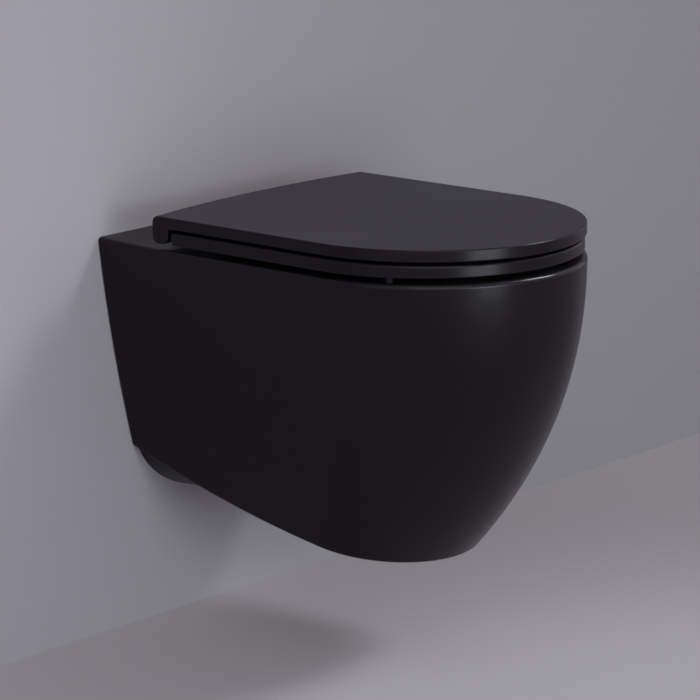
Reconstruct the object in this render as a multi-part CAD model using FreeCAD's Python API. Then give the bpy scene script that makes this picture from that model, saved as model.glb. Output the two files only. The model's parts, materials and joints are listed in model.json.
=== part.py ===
import FreeCAD, Part
import math
import os
from FreeCAD import Vector

# Wall hung toilet: a shrouded rimless pan with a flat seat and lid.
# Millimetres.  +Z is up, the wall is the plane y = 0 and the pan stands out towards -Y.
# The origin is on the wall, midway between the two fixing studs that carry the pan.

# ---------------------------------------------------------------- driving dimensions
# Pan, outside
DECK_HEIGHT = 80.0          # rim and deck above the line of the fixing studs
PAN_LENGTH = 555.6          # wall to the nose, at the rim
PAN_DEPTH = 365.0           # rim to the lowest level that the side walls are drawn to
RIM_WIDTH = 370.0           # over the side walls at the rim
WAIST_WIDTH = 313.6         # over the side walls at half the depth
BASE_WIDTH = 222.0          # over the side walls at the full depth
NOSE_SETBACK = 152.6        # how far the nose has moved back at the full depth
NOSE_CURVE = 2.2            # exponent of the nose's profile
NOSE_ROUNDNESS = 1.14       # length of the round nose over the half width
FORM_LEVELS = 7             # outlines, one above the other, that the body runs through
WALL = 11.0                 # thickness of the fired ceramic shell
DECK_THICKNESS = 14.0
DECK_RISE = 3.0             # the deck climbs this much towards the wall
DECK_RISE_REACH = 105.0     # distance from the wall where that climb starts
RIM_EDGE_RADIUS = 5.0
HEEL_RADIUS = 2.0           # upright edges where the sides meet the wall
SKIRT_AT_WALL = 265.5       # depth of the side walls' lower edge at the wall
SKIRT_AT_MIDDLE = 325.5
SKIRT_AT_FRONT = 363.5
SKIRT_MIDDLE_REACH = 185.0  # distance from the wall of the middle point
SKIRT_FRONT_REACH = 425.0
SKIRT_EDGE_RADIUS = 5.0

# Belly, the rounded underside between the skirts: reach, half width, level and drop
BELLY_REACHES = (0.0, 120.0, 240.0, 335.0)
BELLY_HALF_WIDTHS = (134.5, 125.0, 111.0, 92.0)
BELLY_LEVELS = (240.0, 265.0, 295.0, 315.0)
BELLY_DROPS = (100.0, 75.0, 54.0, 29.0)

# Bowl, inside: rim beside and ahead of its mouth, then depth below the rim, half width, rear end,
# widest line and front end as drawn.  The mouth follows the rim, the deeper levels follow the mouth.
BOWL_LEDGE_SIDE = 42.0
BOWL_LEDGE_FRONT = 42.6
BOWL_DEPTHS = (0.0, 60.0, 120.0, 180.0, 235.0, 285.0, 330.0)
BOWL_HALF_WIDTHS = (143.0, 139.0, 125.0, 101.0, 72.0, 47.0, 25.0)
BOWL_REARS = (176.0, 173.0, 181.0, 194.0, 210.0, 227.0, 246.0)
BOWL_WIDEST = (335.0, 333.0, 325.0, 308.0, 290.0, 280.0, 270.0)
BOWL_FRONTS = (513.0, 509.0, 490.0, 449.0, 394.0, 342.0, 298.0)
BOWL_WALL = 10.0
BOWL_LIP_RADIUS = 6.0

# Trap, outlet and flush inlet
TRAP_BORE = 60.0
TRAP_WALL = 9.0
TRAP_DIP = 301.0            # depth of the passage's centre at its lowest run
TRAP_DIP_START = 272.0      # from the wall to the passage's mouth under the bowl
TRAP_DIP_END = 190.0
TRAP_RISE_END = 130.0
TRAP_BEND_RADIUS = 50.0
OUTLET_DEPTH = 180.0        # centre of the outlet below the rim
OUTLET_OUTER = 102.0
OUTLET_BORE = 88.0
OUTLET_SPIGOT_LENGTH = 42.0
OUTLET_RECESS = 12.0        # spigot's end behind the wall face
OUTLET_FLARE = 34.0         # length of the taper between passage and spigot
INLET_DEPTH = 45.0          # centre of the flush inlet below the rim
INLET_BORE = 55.0
INLET_SOCKET_DEPTH = 42.0
INLET_RECESS = 5.0
INLET_WALL = 9.0
FLUSH_BORE = 38.0
SPREADER_WIDTH = 110.0      # slot that lets the flush water into the bowl
SPREADER_HEIGHT = 17.0
SPREADER_ROUND = 7.5
SPREADER_DEPTH = 26.0
SPREADER_WALL = 9.0

# Concealed wall fixings, one kit each side
STUD_SPACING = 180.0
STUD = 12.0                 # diameter of the wall frame's studs, which the nuts run on
STUD_PLAY = 0.5             # radial, round a stud in bracket and washer
NUT_ACROSS_FLATS = 18.0
NUT_HEIGHT = 10.0
STUD_WASHER_OUTER = 24.0
STUD_WASHER_THICKNESS = 2.5
BRACKET_WIDTH = 40.0
BRACKET_TOP = 12.0          # above the stud's axis
BRACKET_BOTTOM = 26.0       # below the stud's axis
BRACKET_PLATE = 11.0
BRACKET_ARM = 12.0
BRACKET_LENGTH = 134.0
BRACKET_INBOARD = 10.5      # bracket's inner side from the clamp screw's axis
BRACKET_POST_WIDTH = 17.0
BRACKET_POST_DEPTH = 26.0
BRACKET_POST_TOP = 14.0
POCKET_GAP = 4.0            # room round each bracket in its ceramic pocket
POCKET_WALL = 9.0
SHELF_THICKNESS = 14.0
SHELF_GAP = 0.2             # clamp shelf above the bracket's post
CLAMP_SCREW = 6.0
CLAMP_SCREW_LENGTH = 46.0
CLAMP_PLAY = 2.0            # radial, round the clamp screw in the ceramic shelf
CLAMP_WASHER_OUTER = 16.0
CLAMP_WASHER_THICKNESS = 2.0
SCREW_HEAD = 10.0
SCREW_HEAD_HEIGHT = 6.0
SCREW_HEAD_CHAMFER = 0.6
SCREW_TIP_CHAMFER = 0.8
SCREW_SOCKET = 5.0
SCREW_SOCKET_DEPTH = 3.5
THREAD_CLEARANCE = 0.05     # radial, between a screw and the part that it is driven into

# Seat hinges
HINGE_SPACING = 155.0
PIVOT_REACH = 90.0          # pivot line from the wall
PIVOT_HEIGHT = 25.25        # pivot line above the deck
POST_OFFSET = 30.0          # posts ahead of the pivot line
POST_DIAMETER = 14.0
POST_HEIGHT = 18.5
POST_FLANGE = 20.0
POST_FLANGE_THICKNESS = 3.0
POST_CHAMFER = 1.0
POST_FIT = 0.08             # radial, between post and housing
POST_SCREW = 6.0
POST_SCREW_LENGTH = 50.0
POST_SCREW_SINK = 1.0       # screw's head below the post's top
PLUG_DIAMETER = 16.0
PLUG_PLAY = 0.2             # radial, round the plug in the deck
PLUG_LENGTH = 26.0
PLUG_FLANGE = 20.0
PLUG_FLANGE_THICKNESS = 1.5
PLUG_NUT_DIAMETER = 15.0
PLUG_NUT_NECK = 9.0
PLUG_NUT_LENGTH = 9.0
CLIP_WIRE = 1.5
CLIP_HEIGHT = 10.5          # above the deck
CLIP_GAP = 0.15             # radial, between the clip and the post
CLIP_OPENING = 70.0         # degrees of the ring that are left open
CLIP_FACING = 180.0         # degrees from +X to the middle of that opening
CLIP_FIT = 0.1              # room round the clip in its groove
HOUSING_WIDTH = 26.0
BARREL_DIAMETER = 17.0
FOOT_FRONT = 11.0           # foot ahead of the post's axis
FOOT_BACK = 9.5             # foot behind the post's axis
FOOT_GAP = 0.3              # foot above the plug's flange
ARM_ABOVE = 7.0
ARM_BELOW = 6.5
HOUSING_EDGE = 2.0
KNUCKLE_WIDTH = 14.0
KNUCKLE_GAP = 1.5
DAMPER_DIAMETER = 12.0
DAMPER_LENGTH = 25.0
ROTOR_DIAMETER = 8.0
ROTOR_LENGTH = 15.0
PIN_DIAMETER = 7.0
PIN_REACH = 12.5            # rotor shaft and plain pin into their knuckles
PIN_SEAT = 5.5              # plain pin into the damper's closed end
PIN_FLAT = 5.0              # across the two flats of a rotor's shaft
RUNNING_FIT = 0.05          # radial, every turning or driven pair of the hinges

# Seat ring
NOSE_LENGTH = 200.3         # round front of seat and lid, behind the nose of the pan
RING_SIDE = 4.0             # ring's side in from the rim's
RING_REAR = 119.5           # rear edge from the wall
RING_FRONT = 4.9            # ring's nose behind the pan's
RING_THICKNESS = 15.0
RING_LIFT = 6.7             # underside above the rim
RING_BAND_SIDE = 68.0       # ring beside its hole
RING_BAND_FRONT = 62.7      # ring ahead of its hole
RING_HOLE_REAR = 212.0
RING_HOLE_SETBACK = 10.3    # hole's widest line behind the end of the straight sides
RING_CORNER = 4.0
RING_TOP_EDGE = 3.0
RING_BOTTOM_EDGE = 1.5
RING_HOLE_EDGE = 6.0
RING_RECESS = 8.0           # depth of the hollow in the underside
RING_SKIN = 9.0             # walls round that hollow
RING_NOTCH_DEPTH = 20.0     # room for the hinge feet in the rear edge
RING_NOTCH_INNER = 2.5      # room beside each foot, on its inner side
RING_NOTCH_OUTER = 1.25
SEAT_ARM_BELOW = 11.0       # arm's underside below the ring's top face

# Lid
LID_SIDE = 5.0              # lid's side in from the rim's
LID_REAR = 89.0             # rear corners from the wall
LID_BOW = 14.5              # how far the rear edge bows back towards the wall
LID_FRONT = 0.4             # lid's nose behind the pan's
LID_TOP = 39.25             # top face above the rim
LID_THICKNESS = 14.0
LID_REAR_EDGE = 9.0         # upper edge along the rear
LID_EDGE = 1.6              # all its other outer edges
LID_RECESS = 7.0
LID_SKIN = 12.0
LID_RECESS_CORNER = 9.0
LID_LIP_WIDTH = 25.0        # rear lip that hides the hinges
LID_LIP_BOTTOM = 6.3        # lip's lower edge above the deck
LID_LIP_RADIUS = 8.0
LID_LIP_FOOT = 5.0          # hollow corner where the lip meets the panel
LID_POCKET_SIDE = 2.0
LID_POCKET_TOP = 4.75       # skin left above the hinge pockets
LID_POCKET_FRONT = 11.0     # pocket ahead of the hinge feet

# Bumpers under the seat and the lid
BUMPER_GAP = 0.3
SEAT_BUMPER_DIAMETER = 10.0
SEAT_BUMPER_SIDE = 25.1     # front bumpers in from the ring's side
SEAT_BUMPER_AHEAD = 86.2    # front bumpers ahead of the end of the straight sides
SEAT_BUMPER_REAR_SIDE = 47.0
SEAT_BUMPER_REAR_REACH = 205.0
LID_BUMPER_DIAMETER = 12.0
LID_BUMPER_SIDE = 92.0
LID_BUMPER_AHEAD = 112.7
LID_BUMPER_REAR_SIDE = 32.0
LID_BUMPER_REAR_REACH = 190.0
BUMPER_EDGE = 1.0

# ---------------------------------------------------------------- levels and places
DECK = DECK_HEIGHT
SHELL_TOP = DECK - DECK_THICKNESS
PIVOT_Y = -PIVOT_REACH
PIVOT_Z = DECK + PIVOT_HEIGHT
POST_Y = PIVOT_Y - POST_OFFSET
HINGE_X = HINGE_SPACING / 2
STUD_X = STUD_SPACING / 2
MOUTH_HALF_WIDTH = RIM_WIDTH / 2 - BOWL_LEDGE_SIDE
MOUTH_REAR = BOWL_REARS[0]
MOUTH_FRONT = PAN_LENGTH - BOWL_LEDGE_FRONT
BOWL_ACROSS = MOUTH_HALF_WIDTH / BOWL_HALF_WIDTHS[0]
BOWL_ALONG = (MOUTH_FRONT - MOUTH_REAR) / (BOWL_FRONTS[0] - MOUTH_REAR)
INLET_Z = DECK - INLET_DEPTH
OUTLET_Z = DECK - OUTLET_DEPTH
LID_TOP_Z = DECK + LID_TOP
LID_UNDER_Z = LID_TOP_Z - LID_THICKNESS
LID_HALF_WIDTH = RIM_WIDTH / 2 - LID_SIDE
LID_NOSE = PAN_LENGTH - LID_FRONT
RING_HALF_WIDTH = RIM_WIDTH / 2 - RING_SIDE
RING_NOSE = PAN_LENGTH - RING_FRONT
SIDES_END = PAN_LENGTH - NOSE_LENGTH
RING_HOLE_HALF_WIDTH = RING_HALF_WIDTH - RING_BAND_SIDE
RING_HOLE_FRONT = RING_NOSE - RING_BAND_FRONT
RING_HOLE_WIDEST = SIDES_END - RING_HOLE_SETBACK
RING_UNDER_Z = DECK + RING_LIFT
RING_TOP_Z = RING_UNDER_Z + RING_THICKNESS
POCKET_LEFT = HINGE_X - HOUSING_WIDTH / 2 - LID_POCKET_SIDE
KNUCKLE_START = HINGE_X + HOUSING_WIDTH / 2 + KNUCKLE_GAP
KNUCKLE_END = KNUCKLE_START + KNUCKLE_WIDTH
POCKET_RIGHT = KNUCKLE_END + KNUCKLE_GAP
ALONG_X = Vector(1, 0, 0)
ALONG_Y = Vector(0, 1, 0)
ALONG_Z = Vector(0, 0, 1)
BEYOND = 2.0                # how far a cutter runs past the face that it opens
OVERLAP = 1.0               # how far two forms run into each other where they join
NEAR = 1.0                  # an edge this close to a place belongs to it
SAME = 0.01                 # two places closer than this are one
QUARTER = 0.5523            # handle length of a cubic that draws a quarter ellipse


# ---------------------------------------------------------------- helpers
def box(x0, x1, y0, y1, z0, z1):
    return Part.makeBox(x1 - x0, y1 - y0, z1 - z0, Vector(x0, y0, z0))


def rod(radius, start, direction, length):
    return Part.makeCylinder(radius, length, start, direction)


def mirrored(shape):
    return shape.mirror(Vector(0, 0, 0), ALONG_X)


def joined(shapes):
    return shapes[0].multiFuse(shapes[1:]).removeSplitter()


def both_sides(shape):
    return Part.makeCompound([shape, mirrored(shape)])


def single(shape):
    return shape.Solids[0] if len(shape.Solids) == 1 else shape


def quarter_ellipse(start, corner, end):
    """A quarter of an ellipse from start to end, inside the corner of its box."""
    curve = Part.BezierCurve()
    first = start + (corner - start) * QUARTER
    second = end + (corner - end) * QUARTER
    curve.setPoles([start, first, second, end])
    return curve.toShape()


def line(start, end):
    return Part.LineSegment(start, end).toShape()


def edges_where(shape, test):
    return [edge for edge in shape.Edges if test(edge)]


def lies_in_level(edge, level):
    bounds = edge.BoundBox
    return abs(bounds.ZMin - level) < SAME and abs(bounds.ZMax - level) < SAME


def upright_at(edge, y):
    bounds = edge.BoundBox
    upright = bounds.XLength < SAME and bounds.YLength < SAME
    return upright and abs(bounds.Center.y - y) < NEAR


def d_outline(half_width, rear, straight_end, nose, level):
    """A D seen from above: straight rear edge and sides, half an ellipse for the nose."""
    left_rear = Vector(-half_width, -rear, level)
    right_rear = Vector(half_width, -rear, level)
    right_front = Vector(half_width, -straight_end, level)
    left_front = Vector(-half_width, -straight_end, level)
    tip = Vector(0, -nose, level)
    right_corner = Vector(half_width, -nose, level)
    left_corner = Vector(-half_width, -nose, level)
    return Part.Wire([
        line(left_rear, right_rear),
        line(right_rear, right_front),
        quarter_ellipse(right_front, right_corner, tip),
        quarter_ellipse(tip, left_corner, left_front),
        line(left_front, left_rear),
    ])


def egg_outline(half_width, rear, widest, front, level):
    """An egg seen from above: half an ellipse each way from the widest line."""
    right = Vector(half_width, -widest, level)
    left = Vector(-half_width, -widest, level)
    back = Vector(0, -rear, level)
    tip = Vector(0, -front, level)
    return Part.Wire([
        quarter_ellipse(back, Vector(half_width, -rear, level), right),
        quarter_ellipse(right, Vector(half_width, -front, level), tip),
        quarter_ellipse(tip, Vector(-half_width, -front, level), left),
        quarter_ellipse(left, Vector(-half_width, -rear, level), back),
    ])


def slab(outline, height):
    return Part.Face(outline).extrude(Vector(0, 0, height))


def tube_along(points, radius, bend):
    """A round bar along straight runs joined by arcs, all in the plane x = 0."""
    solids = []
    start = points[0]
    for index in range(1, len(points) - 1):
        before = (points[index] - points[index - 1]).normalize()
        after = (points[index + 1] - points[index]).normalize()
        turn = before.getAngle(after)
        trim = bend * math.tan(turn / 2)
        run_end = points[index] - before * trim
        solids.append(rod(radius, start, before, (run_end - start).Length))
        axis = before.cross(after).normalize()
        centre = run_end + axis.cross(before) * bend
        disc = Part.Face(Part.Wire(Part.makeCircle(radius, run_end, before)))
        solids.append(disc.revolve(centre, axis, math.degrees(turn)))
        start = points[index] + after * trim
    last = (points[-1] - start).normalize()
    solids.append(rod(radius, start, last, (points[-1] - start).Length))
    return solids[0].multiFuse(solids[1:])


# ---------------------------------------------------------------- pan, outside form
def half_width_at(depth):
    """Half the pan's width, on the parabola through its three measured widths."""
    share = depth / PAN_DEPTH
    top = RIM_WIDTH * (1 - share) * (1 - 2 * share)
    waist = WAIST_WIDTH * 4 * share * (1 - share)
    base = BASE_WIDTH * share * (2 * share - 1)
    return (top + waist + base) / 2


def nose_at(depth):
    return PAN_LENGTH - NOSE_SETBACK * (max(depth, 0.0) / PAN_DEPTH) ** NOSE_CURVE


def pan_form(inset, top, bottom, rear):
    """The pan's body between two depths, all its walls moved in by the inset."""
    outlines = []
    for step in range(FORM_LEVELS):
        depth = top + (bottom - top) * step / (FORM_LEVELS - 1)
        half = half_width_at(depth)
        straight_end = nose_at(depth) - NOSE_ROUNDNESS * half
        nose = nose_at(depth) - inset
        outlines.append(d_outline(half - inset, rear, straight_end, nose, DECK - depth))
    return Part.makeLoft(outlines, True)


def underside_cutter(inset):
    """All that lies below the skirt's lower edge, raised by the inset."""
    wall_point = Vector(0, 0, DECK - SKIRT_AT_WALL + inset)
    middle = Vector(0, -SKIRT_MIDDLE_REACH, DECK - SKIRT_AT_MIDDLE + inset)
    front = Vector(0, -SKIRT_FRONT_REACH, DECK - SKIRT_AT_FRONT + inset)
    arc = Part.Arc(wall_point, middle, front)
    behind = Vector(0, RIM_WIDTH, wall_point.z)
    ahead = Vector(0, -PAN_LENGTH - WALL, front.z)
    floor = DECK - 2 * PAN_DEPTH
    outline = Part.Wire([
        line(behind, wall_point),
        arc.toShape(),
        line(front, ahead),
        line(ahead, Vector(0, ahead.y, floor)),
        line(Vector(0, ahead.y, floor), Vector(0, behind.y, floor)),
        line(Vector(0, behind.y, floor), behind),
    ])
    face = Part.Face(outline)
    face.translate(Vector(-RIM_WIDTH, 0, 0))
    return face.extrude(Vector(2 * RIM_WIDTH, 0, 0))


def belly_outline(index, inset, reach):
    half = BELLY_HALF_WIDTHS[index] - inset
    level = DECK - BELLY_LEVELS[index]
    bottom = level - BELLY_DROPS[index] + inset
    right = Vector(half, -reach, level)
    left = Vector(-half, -reach, level)
    low = Vector(0, -reach, bottom)
    return Part.Wire([
        line(left, right),
        quarter_ellipse(right, Vector(half, -reach, bottom), low),
        quarter_ellipse(low, Vector(-half, -reach, bottom), left),
    ])


def belly_form(inset, rear):
    outlines = []
    for index, reach in enumerate(BELLY_REACHES):
        place = rear if index == 0 else reach
        outlines.append(belly_outline(index, inset, place))
    return Part.makeLoft(outlines, True)


def is_skirt_edge(edge):
    bounds = edge.BoundBox
    return bounds.ZMax < DECK - SKIRT_AT_WALL + NEAR and bounds.YMin < -NEAR


def is_heel(edge):
    bounds = edge.BoundBox
    return bounds.YLength < SAME and bounds.ZLength > WALL and bounds.YMax > -NEAR


def above_deck():
    """All that lies above the deck, which climbs a little towards the wall."""
    curve = (DECK_RISE_REACH ** 2 + DECK_RISE ** 2) / (2 * DECK_RISE)
    half_reach = DECK_RISE_REACH / 2
    half_rise = curve - math.sqrt(curve ** 2 - half_reach ** 2)
    start = Vector(0, -DECK_RISE_REACH, DECK)
    middle = Vector(0, -half_reach, DECK + half_rise)
    end = Vector(0, 0, DECK + DECK_RISE)
    behind = Vector(0, RIM_WIDTH, end.z)
    ahead = Vector(0, -2 * PAN_LENGTH, DECK)
    ceiling = Vector(0, 0, PAN_DEPTH)
    outline = Part.Wire([
        line(ahead, start),
        Part.Arc(start, middle, end).toShape(),
        line(end, behind),
        line(behind, behind + ceiling),
        line(behind + ceiling, ahead + ceiling),
        line(ahead + ceiling, ahead),
    ])
    face = Part.Face(outline)
    face.translate(Vector(-RIM_WIDTH, 0, 0))
    return face.extrude(Vector(2 * RIM_WIDTH, 0, 0))


def behind_wall_face():
    return box(-RIM_WIDTH, RIM_WIDTH, 0, RIM_WIDTH, DECK - 2 * PAN_DEPTH, DECK + PAN_DEPTH)


def is_rim_edge(edge):
    bounds = edge.BoundBox
    return bounds.ZMin > DECK - SAME and bounds.YLength > NEAR


def pan_outside():
    body = pan_form(0.0, -DECK_RISE - BEYOND, PAN_DEPTH, -BEYOND)
    body = body.cut(behind_wall_face()).cut(above_deck())
    body = body.makeFillet(RIM_EDGE_RADIUS, edges_where(body, is_rim_edge))
    body = body.cut(underside_cutter(0.0))
    body = body.makeFillet(SKIRT_EDGE_RADIUS, edges_where(body, is_skirt_edge))
    body = body.makeFillet(HEEL_RADIUS, edges_where(body, is_heel))
    return body.fuse(belly_form(0.0, 0.0))


# ---------------------------------------------------------------- pan, inside forms
def bowl_form(inset):
    """The bowl: its water side with no inset, its dry side with a negative one."""
    outlines = []
    for index, depth in enumerate(BOWL_DEPTHS):
        level = DECK - depth
        if index == len(BOWL_DEPTHS) - 1:
            level = level + inset
        outlines.append(bowl_outline(index, inset, level))
    return Part.makeLoft(outlines, True)


def bowl_outline(index, inset, level):
    half = BOWL_HALF_WIDTHS[index] * BOWL_ACROSS
    rear = BOWL_REARS[index]
    widest = rear + (BOWL_WIDEST[index] - rear) * BOWL_ALONG
    front = rear + (BOWL_FRONTS[index] - rear) * BOWL_ALONG
    return egg_outline(half - inset, rear + inset, widest, front - inset, level)


def trap_route():
    low = DECK - TRAP_DIP
    return [
        Vector(0, -TRAP_DIP_START, low),
        Vector(0, -TRAP_DIP_END, low),
        Vector(0, -TRAP_RISE_END, OUTLET_Z),
        Vector(0, -OUTLET_RECESS - OUTLET_SPIGOT_LENGTH - OUTLET_FLARE, OUTLET_Z),
    ]


def trap_form(wall, beyond):
    """Passage under the bowl, up over the weir and out to the spigot at the wall."""
    radius = TRAP_BORE / 2 + wall
    spigot_radius = OUTLET_OUTER / 2 if wall > 0 else OUTLET_BORE / 2
    route = trap_route()
    tube = tube_along(route, radius, TRAP_BEND_RADIUS)
    flare = Part.makeCone(radius, spigot_radius, OUTLET_FLARE, route[-1], ALONG_Y)
    spigot_start = route[-1] + ALONG_Y * OUTLET_FLARE
    spigot = rod(spigot_radius, spigot_start, ALONG_Y, OUTLET_SPIGOT_LENGTH + beyond)
    return tube.multiFuse([flare, spigot])


def inlet_outside():
    radius = INLET_BORE / 2 + INLET_WALL
    mouth = Vector(0, -INLET_RECESS, INLET_Z)
    pipe = rod(radius, mouth, -ALONG_Y, MOUTH_REAR - INLET_RECESS)
    half = SPREADER_WIDTH / 2 + SPREADER_WALL
    rear = MOUTH_REAR - SPREADER_DEPTH / 2 - SPREADER_WALL
    height = SPREADER_HEIGHT / 2 + SPREADER_WALL
    chamber = box(-half, half, -MOUTH_REAR, -rear, INLET_Z - height, INLET_Z + height)
    return pipe.fuse(chamber)


def inlet_inside():
    mouth = Vector(0, BEYOND - INLET_RECESS, INLET_Z)
    socket = rod(INLET_BORE / 2, mouth, -ALONG_Y, INLET_SOCKET_DEPTH + BEYOND)
    duct = rod(FLUSH_BORE / 2, mouth, -ALONG_Y, MOUTH_REAR - INLET_RECESS + BEYOND)
    rear = MOUTH_REAR - SPREADER_DEPTH / 2
    half = SPREADER_WIDTH / 2
    height = SPREADER_HEIGHT / 2
    slot = box(-half, half, -rear - SPREADER_DEPTH, -rear, INLET_Z - height, INLET_Z + height)
    slot = slot.makeFillet(SPREADER_ROUND, edges_where(slot, lambda edge: edge.BoundBox.YLength > NEAR))
    return socket.multiFuse([duct, slot])


def pocket_limits(margin):
    """x, y and z limits of one fixing pocket, grown by the margin."""
    bracket = bracket_limits()
    x0 = bracket[0] - POCKET_GAP - margin
    x1 = bracket[1] + POCKET_GAP + margin
    y0 = -BRACKET_LENGTH - POCKET_GAP - margin
    z0 = -BRACKET_BOTTOM - POCKET_GAP - margin
    z1 = BRACKET_POST_TOP + SHELF_GAP
    return x0, x1, y0, z0, z1


def pocket_outside():
    """Walls round one fixing pocket, with the ribs that tie it to deck and side."""
    x0, x1, y0, z0, z1 = pocket_limits(POCKET_WALL)
    shelf = z1 + SHELF_THICKNESS
    walls = box(x0, x1, y0, 0, z0, shelf)
    deck_rib = box(x1 - 2 * POCKET_WALL, x1 - POCKET_WALL, y0, 0, shelf - OVERLAP, DECK)
    side_rib = box(x1 - OVERLAP, RIM_WIDTH / 2, y0, 0, z0, z0 + POCKET_WALL)
    return walls.multiFuse([deck_rib, side_rib])


def pocket_inside():
    x0, x1, y0, z0, z1 = pocket_limits(0.0)
    room = box(x0, x1, y0, BEYOND, z0, z1)
    start = Vector(HINGE_X, POST_Y, z1 - BEYOND)
    hole = rod(CLAMP_SCREW / 2 + CLAMP_PLAY, start, ALONG_Z, SHELF_THICKNESS + 2 * BEYOND)
    return room.fuse(hole)


def deck_hole():
    start = Vector(HINGE_X, POST_Y, SHELL_TOP - BEYOND)
    return rod(PLUG_DIAMETER / 2 + PLUG_PLAY, start, ALONG_Z, DECK_THICKNESS + 2 * BEYOND)


def bowl_mouth():
    return slab(bowl_outline(0, 0.0, DECK - SAME), BEYOND)


def pan_ceramic():
    """The fired pan, one piece: shell, deck, bowl, trap, inlet and fixing pockets."""
    pan = pan_outside().cut(bowl_form(0.0).fuse(bowl_mouth()))
    pan = pan.makeFillet(BOWL_LIP_RADIUS, edges_where(pan, is_bowl_mouth))
    hollow = pan_form(WALL, DECK_THICKNESS, PAN_DEPTH, -BEYOND)
    hollow = hollow.cut(underside_cutter(WALL))
    hollow = hollow.fuse(belly_form(WALL, -BEYOND))
    hollow = hollow.cut(bowl_form(-BOWL_WALL))
    hollow = hollow.cut(trap_form(TRAP_WALL, 0.0))
    hollow = hollow.cut(inlet_outside())
    pocket = pocket_outside()
    hollow = hollow.cut(pocket).cut(mirrored(pocket))
    pan = pan.cut(hollow)
    pan = pan.cut(trap_form(0.0, BEYOND))
    pan = pan.cut(inlet_inside())
    for cutter in (pocket_inside(), deck_hole()):
        pan = pan.cut(cutter).cut(mirrored(cutter))
    return single(pan)


def is_bowl_mouth(edge):
    bounds = edge.BoundBox
    limit = MOUTH_HALF_WIDTH + NEAR
    inside = bounds.XMax < limit and bounds.XMin > -limit
    return lies_in_level(edge, DECK) and inside and bounds.YMax < -MOUTH_REAR + NEAR


# ---------------------------------------------------------------- wall fixings
def bracket_limits():
    return HINGE_X - BRACKET_INBOARD, HINGE_X - BRACKET_INBOARD + BRACKET_WIDTH


def fixing_bracket():
    """Cast bracket, bolted flat to the wall; the clamp screw pulls the pan down on to it."""
    x0, x1 = bracket_limits()
    plate = box(x0, x1, -BRACKET_PLATE, 0, -BRACKET_BOTTOM, BRACKET_TOP)
    arm = box(x0, x1, -BRACKET_LENGTH, 0, -BRACKET_BOTTOM, -BRACKET_BOTTOM + BRACKET_ARM)
    post = box(x0, x0 + BRACKET_POST_WIDTH, POST_Y - BRACKET_POST_DEPTH / 2,
               POST_Y + BRACKET_POST_DEPTH / 2, -BRACKET_BOTTOM, BRACKET_POST_TOP)
    bracket = plate.multiFuse([arm, post])
    stud_start = Vector(STUD_X, BEYOND, 0)
    stud_hole = rod(STUD / 2 + STUD_PLAY, stud_start, -ALONG_Y, BRACKET_PLATE + 2 * BEYOND)
    screw_start = Vector(HINGE_X, POST_Y, -BRACKET_BOTTOM - BEYOND)
    screw_reach = BRACKET_BOTTOM + BRACKET_POST_TOP + 2 * BEYOND
    screw_hole = rod(CLAMP_SCREW / 2 + THREAD_CLEARANCE, screw_start, ALONG_Z, screw_reach)
    return single(bracket.cut(stud_hole).cut(screw_hole))


def stud_washer():
    start = Vector(STUD_X, -BRACKET_PLATE, 0)
    outer = rod(STUD_WASHER_OUTER / 2, start, -ALONG_Y, STUD_WASHER_THICKNESS)
    return outer.cut(rod(STUD / 2 + STUD_PLAY, start, -ALONG_Y, STUD_WASHER_THICKNESS))


def hexagon(across_flats, centre, direction, height):
    radius = across_flats / math.sqrt(3)
    corners = []
    for corner in range(6):
        angle = math.radians(60 * corner)
        corners.append(Vector(radius * math.cos(angle), radius * math.sin(angle), 0))
    prism = Part.Face(Part.makePolygon(corners + corners[:1])).extrude(Vector(0, 0, height))
    prism.Placement = FreeCAD.Placement(centre, FreeCAD.Rotation(ALONG_Z, direction))
    return prism


def stud_nut():
    start = Vector(STUD_X, -BRACKET_PLATE - STUD_WASHER_THICKNESS, 0)
    nut = hexagon(NUT_ACROSS_FLATS, start, -ALONG_Y, NUT_HEIGHT)
    return nut.cut(rod(STUD / 2 + THREAD_CLEARANCE, start, -ALONG_Y, NUT_HEIGHT))


def chamfered_at(shape, size, level):
    return shape.makeChamfer(size, edges_where(shape, lambda edge: lies_in_level(edge, level)))


def rounded_at(shape, radius, level):
    return shape.makeFillet(radius, edges_where(shape, lambda edge: lies_in_level(edge, level)))


def socket_screw(diameter, top, length):
    """A socket head screw that hangs down from the seat of its head."""
    head = rod(SCREW_HEAD / 2, top, ALONG_Z, SCREW_HEAD_HEIGHT)
    head = chamfered_at(head, SCREW_HEAD_CHAMFER, top.z + SCREW_HEAD_HEIGHT)
    shank = rod(diameter / 2, top, -ALONG_Z, length)
    shank = chamfered_at(shank, SCREW_TIP_CHAMFER, top.z - length)
    socket_floor = top + ALONG_Z * (SCREW_HEAD_HEIGHT - SCREW_SOCKET_DEPTH)
    socket = hexagon(SCREW_SOCKET, socket_floor, ALONG_Z, SCREW_SOCKET_DEPTH + BEYOND)
    return head.fuse(shank).removeSplitter().cut(socket)


def shelf_top():
    return BRACKET_POST_TOP + SHELF_GAP + SHELF_THICKNESS


def clamp_washer():
    start = Vector(HINGE_X, POST_Y, shelf_top())
    outer = rod(CLAMP_WASHER_OUTER / 2, start, ALONG_Z, CLAMP_WASHER_THICKNESS)
    return outer.cut(rod(CLAMP_SCREW / 2 + THREAD_CLEARANCE, start, ALONG_Z, CLAMP_WASHER_THICKNESS))


def clamp_screw():
    top = Vector(HINGE_X, POST_Y, shelf_top() + CLAMP_WASHER_THICKNESS)
    return socket_screw(CLAMP_SCREW, top, CLAMP_SCREW_LENGTH)


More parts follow.
